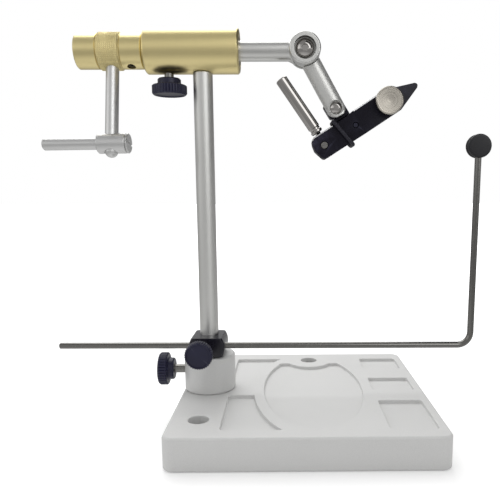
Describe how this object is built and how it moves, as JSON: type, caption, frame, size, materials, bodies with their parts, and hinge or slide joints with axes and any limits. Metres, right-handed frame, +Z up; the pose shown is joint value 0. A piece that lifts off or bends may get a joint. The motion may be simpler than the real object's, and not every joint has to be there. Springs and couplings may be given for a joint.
{
  "type": "fly tying vise",
  "caption": "Rotary fly tying vise on a square pedestal base, with a cranked hub, hinged elbow, cam-closed jaws and a swinging bobbin cradle",
  "frame": {"origin": "On the underside of the base, on the axis of the upright stem", "axes": "+Z up along the stem, +X to the right along the rotary shaft towards the jaws, +Y away from the viewer of the picture"},
  "size_m": [0.2184, 0.125, 0.1963],
  "materials": {
    "base_coat": "fine matte",
    "grey_metal": "turned, satin",
    "satin_steel": "satin, ground",
    "zinc_steel": "bright",
    "dark_steel": "blackened",
    "knob_plastic": "fine satin",
    "black_plastic": "satin",
    "gold_anodised": "satin gold anodised",
    "bushing_brass": "turned",
    "white_nylon": "satin",
    "crank_metal": "dark satin",
    "black_anodised": "black anodised, satin",
    "polished_steel": "polished",
    "jaw_steel": "blackened, satin",
    "knob_metal": "turned, knurled rim",
    "ring_rubber": "matte"
  },
  "bodies": {
    "base": {"base": "base_coat", "stem_collar": "grey_metal", "post_stud": "dark_steel"},
    "collar_screw": {"collar_stud": "zinc_steel", "collar_knob": "knob_plastic"},
    "stem": {"stem": "satin_steel", "stem_stud": "zinc_steel", "housing": "gold_anodised", "shaft_bushings": "bushing_brass", "tension_pad": "white_nylon"},
    "tension_screw": {"tension_stud": "zinc_steel", "tension_knob": "knob_plastic"},
    "cradle": {"cradle_clamp": "black_anodised"},
    "cradle_screw": {"cradle_stud": "zinc_steel", "cradle_knob": "knob_plastic"},
    "rod": {"cradle_rod": "satin_steel", "thread_rest": "black_plastic"},
    "shaft": {"rotary_shaft": "satin_steel", "thrust_washer": "white_nylon", "hub": "gold_anodised", "hub_set_screw": "dark_steel", "crank_arm": "satin_steel", "crank_dome": "satin_steel", "knuckle_screw": "dark_steel", "knuckle_washer": "zinc_steel"},
    "crank_slider": {"crank_barrel": "crank_metal", "barrel_screw": "crank_metal"},
    "crank_pin": {"crank_pin": "crank_metal"},
    "elbow": {"elbow_arm": "satin_steel", "elbow_screw": "dark_steel"},
    "jaws": {"rear_jaw": "jaw_steel", "jaw_dowel": "dark_steel", "jaw_ring": "ring_rubber", "cam_pin": "dark_steel"},
    "front_jaw": {"front_jaw": "jaw_steel"},
    "cam": {"cam": "dark_steel", "cam_lever": "polished_steel"},
    "jaw_screw": {"jaw_screw": "zinc_steel", "jaw_knob": "knob_metal"}
  },
  "joints": [
    {"name": "stem_swivel", "type": "hinge", "parent": "base", "child": "stem", "pos_m": [0, 0, 0.03], "axis": [0, 0, 1], "range_deg": [-30, 120]},
    {"name": "collar_screw_turn", "type": "hinge", "parent": "base", "child": "collar_screw", "pos_m": [-0.02, 0, 0.026], "axis": [-1, 0, 0], "continuous": true},
    {"name": "tension_screw_turn", "type": "hinge", "parent": "stem", "child": "tension_screw", "pos_m": [-0.0165, 0, 0.17], "axis": [0, 0, -1], "continuous": true},
    {"name": "cradle_swing", "type": "hinge", "parent": "stem", "child": "cradle", "pos_m": [0, 0, 0.0401], "axis": [0, 0, 1], "range_deg": [-20, 90]},
    {"name": "cradle_screw_turn", "type": "hinge", "parent": "cradle", "child": "cradle_screw", "pos_m": [-0.00203, -0.01908, 0.0401], "axis": [-0.0122, -0.9999, 0], "continuous": true},
    {"name": "rod_slide", "type": "slide", "parent": "cradle", "child": "rod", "axis": [0.9999, -0.0122, 0], "range_m": [-0.004, 0.04]},
    {"name": "rotary_spin", "type": "hinge", "parent": "stem", "child": "shaft", "pos_m": [0, 0, 0.1857], "axis": [1, 0, 0], "continuous": true},
    {"name": "crank_slide", "type": "slide", "parent": "shaft", "child": "crank_slider", "axis": [0, 0.2079, 0.9781], "range_m": [0, 0.02]},
    {"name": "crank_pin_turn", "type": "hinge", "parent": "crank_slider", "child": "crank_pin", "pos_m": [-0.0434, -0.00944, 0.14129], "axis": [0.9994, -0.0341, 0.0073], "continuous": true},
    {"name": "knuckle_tilt", "type": "hinge", "parent": "shaft", "child": "elbow", "pos_m": [0.0498, 0, 0.1857], "axis": [0, -1, 0], "range_deg": [-12, 25]},
    {"name": "jaw_tilt", "type": "hinge", "parent": "elbow", "child": "jaws", "pos_m": [0.06516, 0, 0.15854], "axis": [0, -1, 0], "range_deg": [-8, 40]},
    {"name": "cam_turn", "type": "hinge", "parent": "jaws", "child": "cam", "pos_m": [0.05946, 0, 0.14059], "axis": [0, -1, 0], "range_deg": [0, 80]},
    {"name": "front_jaw_rock", "type": "hinge", "parent": "jaws", "child": "front_jaw", "pos_m": [0.09055, 0, 0.16132], "axis": [0.5299, 0, -0.848], "range_deg": [0, 2.06]},
    {"name": "jaw_screw_turn", "type": "hinge", "parent": "jaws", "child": "jaw_screw", "pos_m": [0.09055, 0, 0.16132], "axis": [0, -1, 0], "continuous": true}
  ],
  "couplings": [
    {"joint": "front_jaw_rock", "follows": "cam_turn", "ratio": 0.0257}
  ]
}
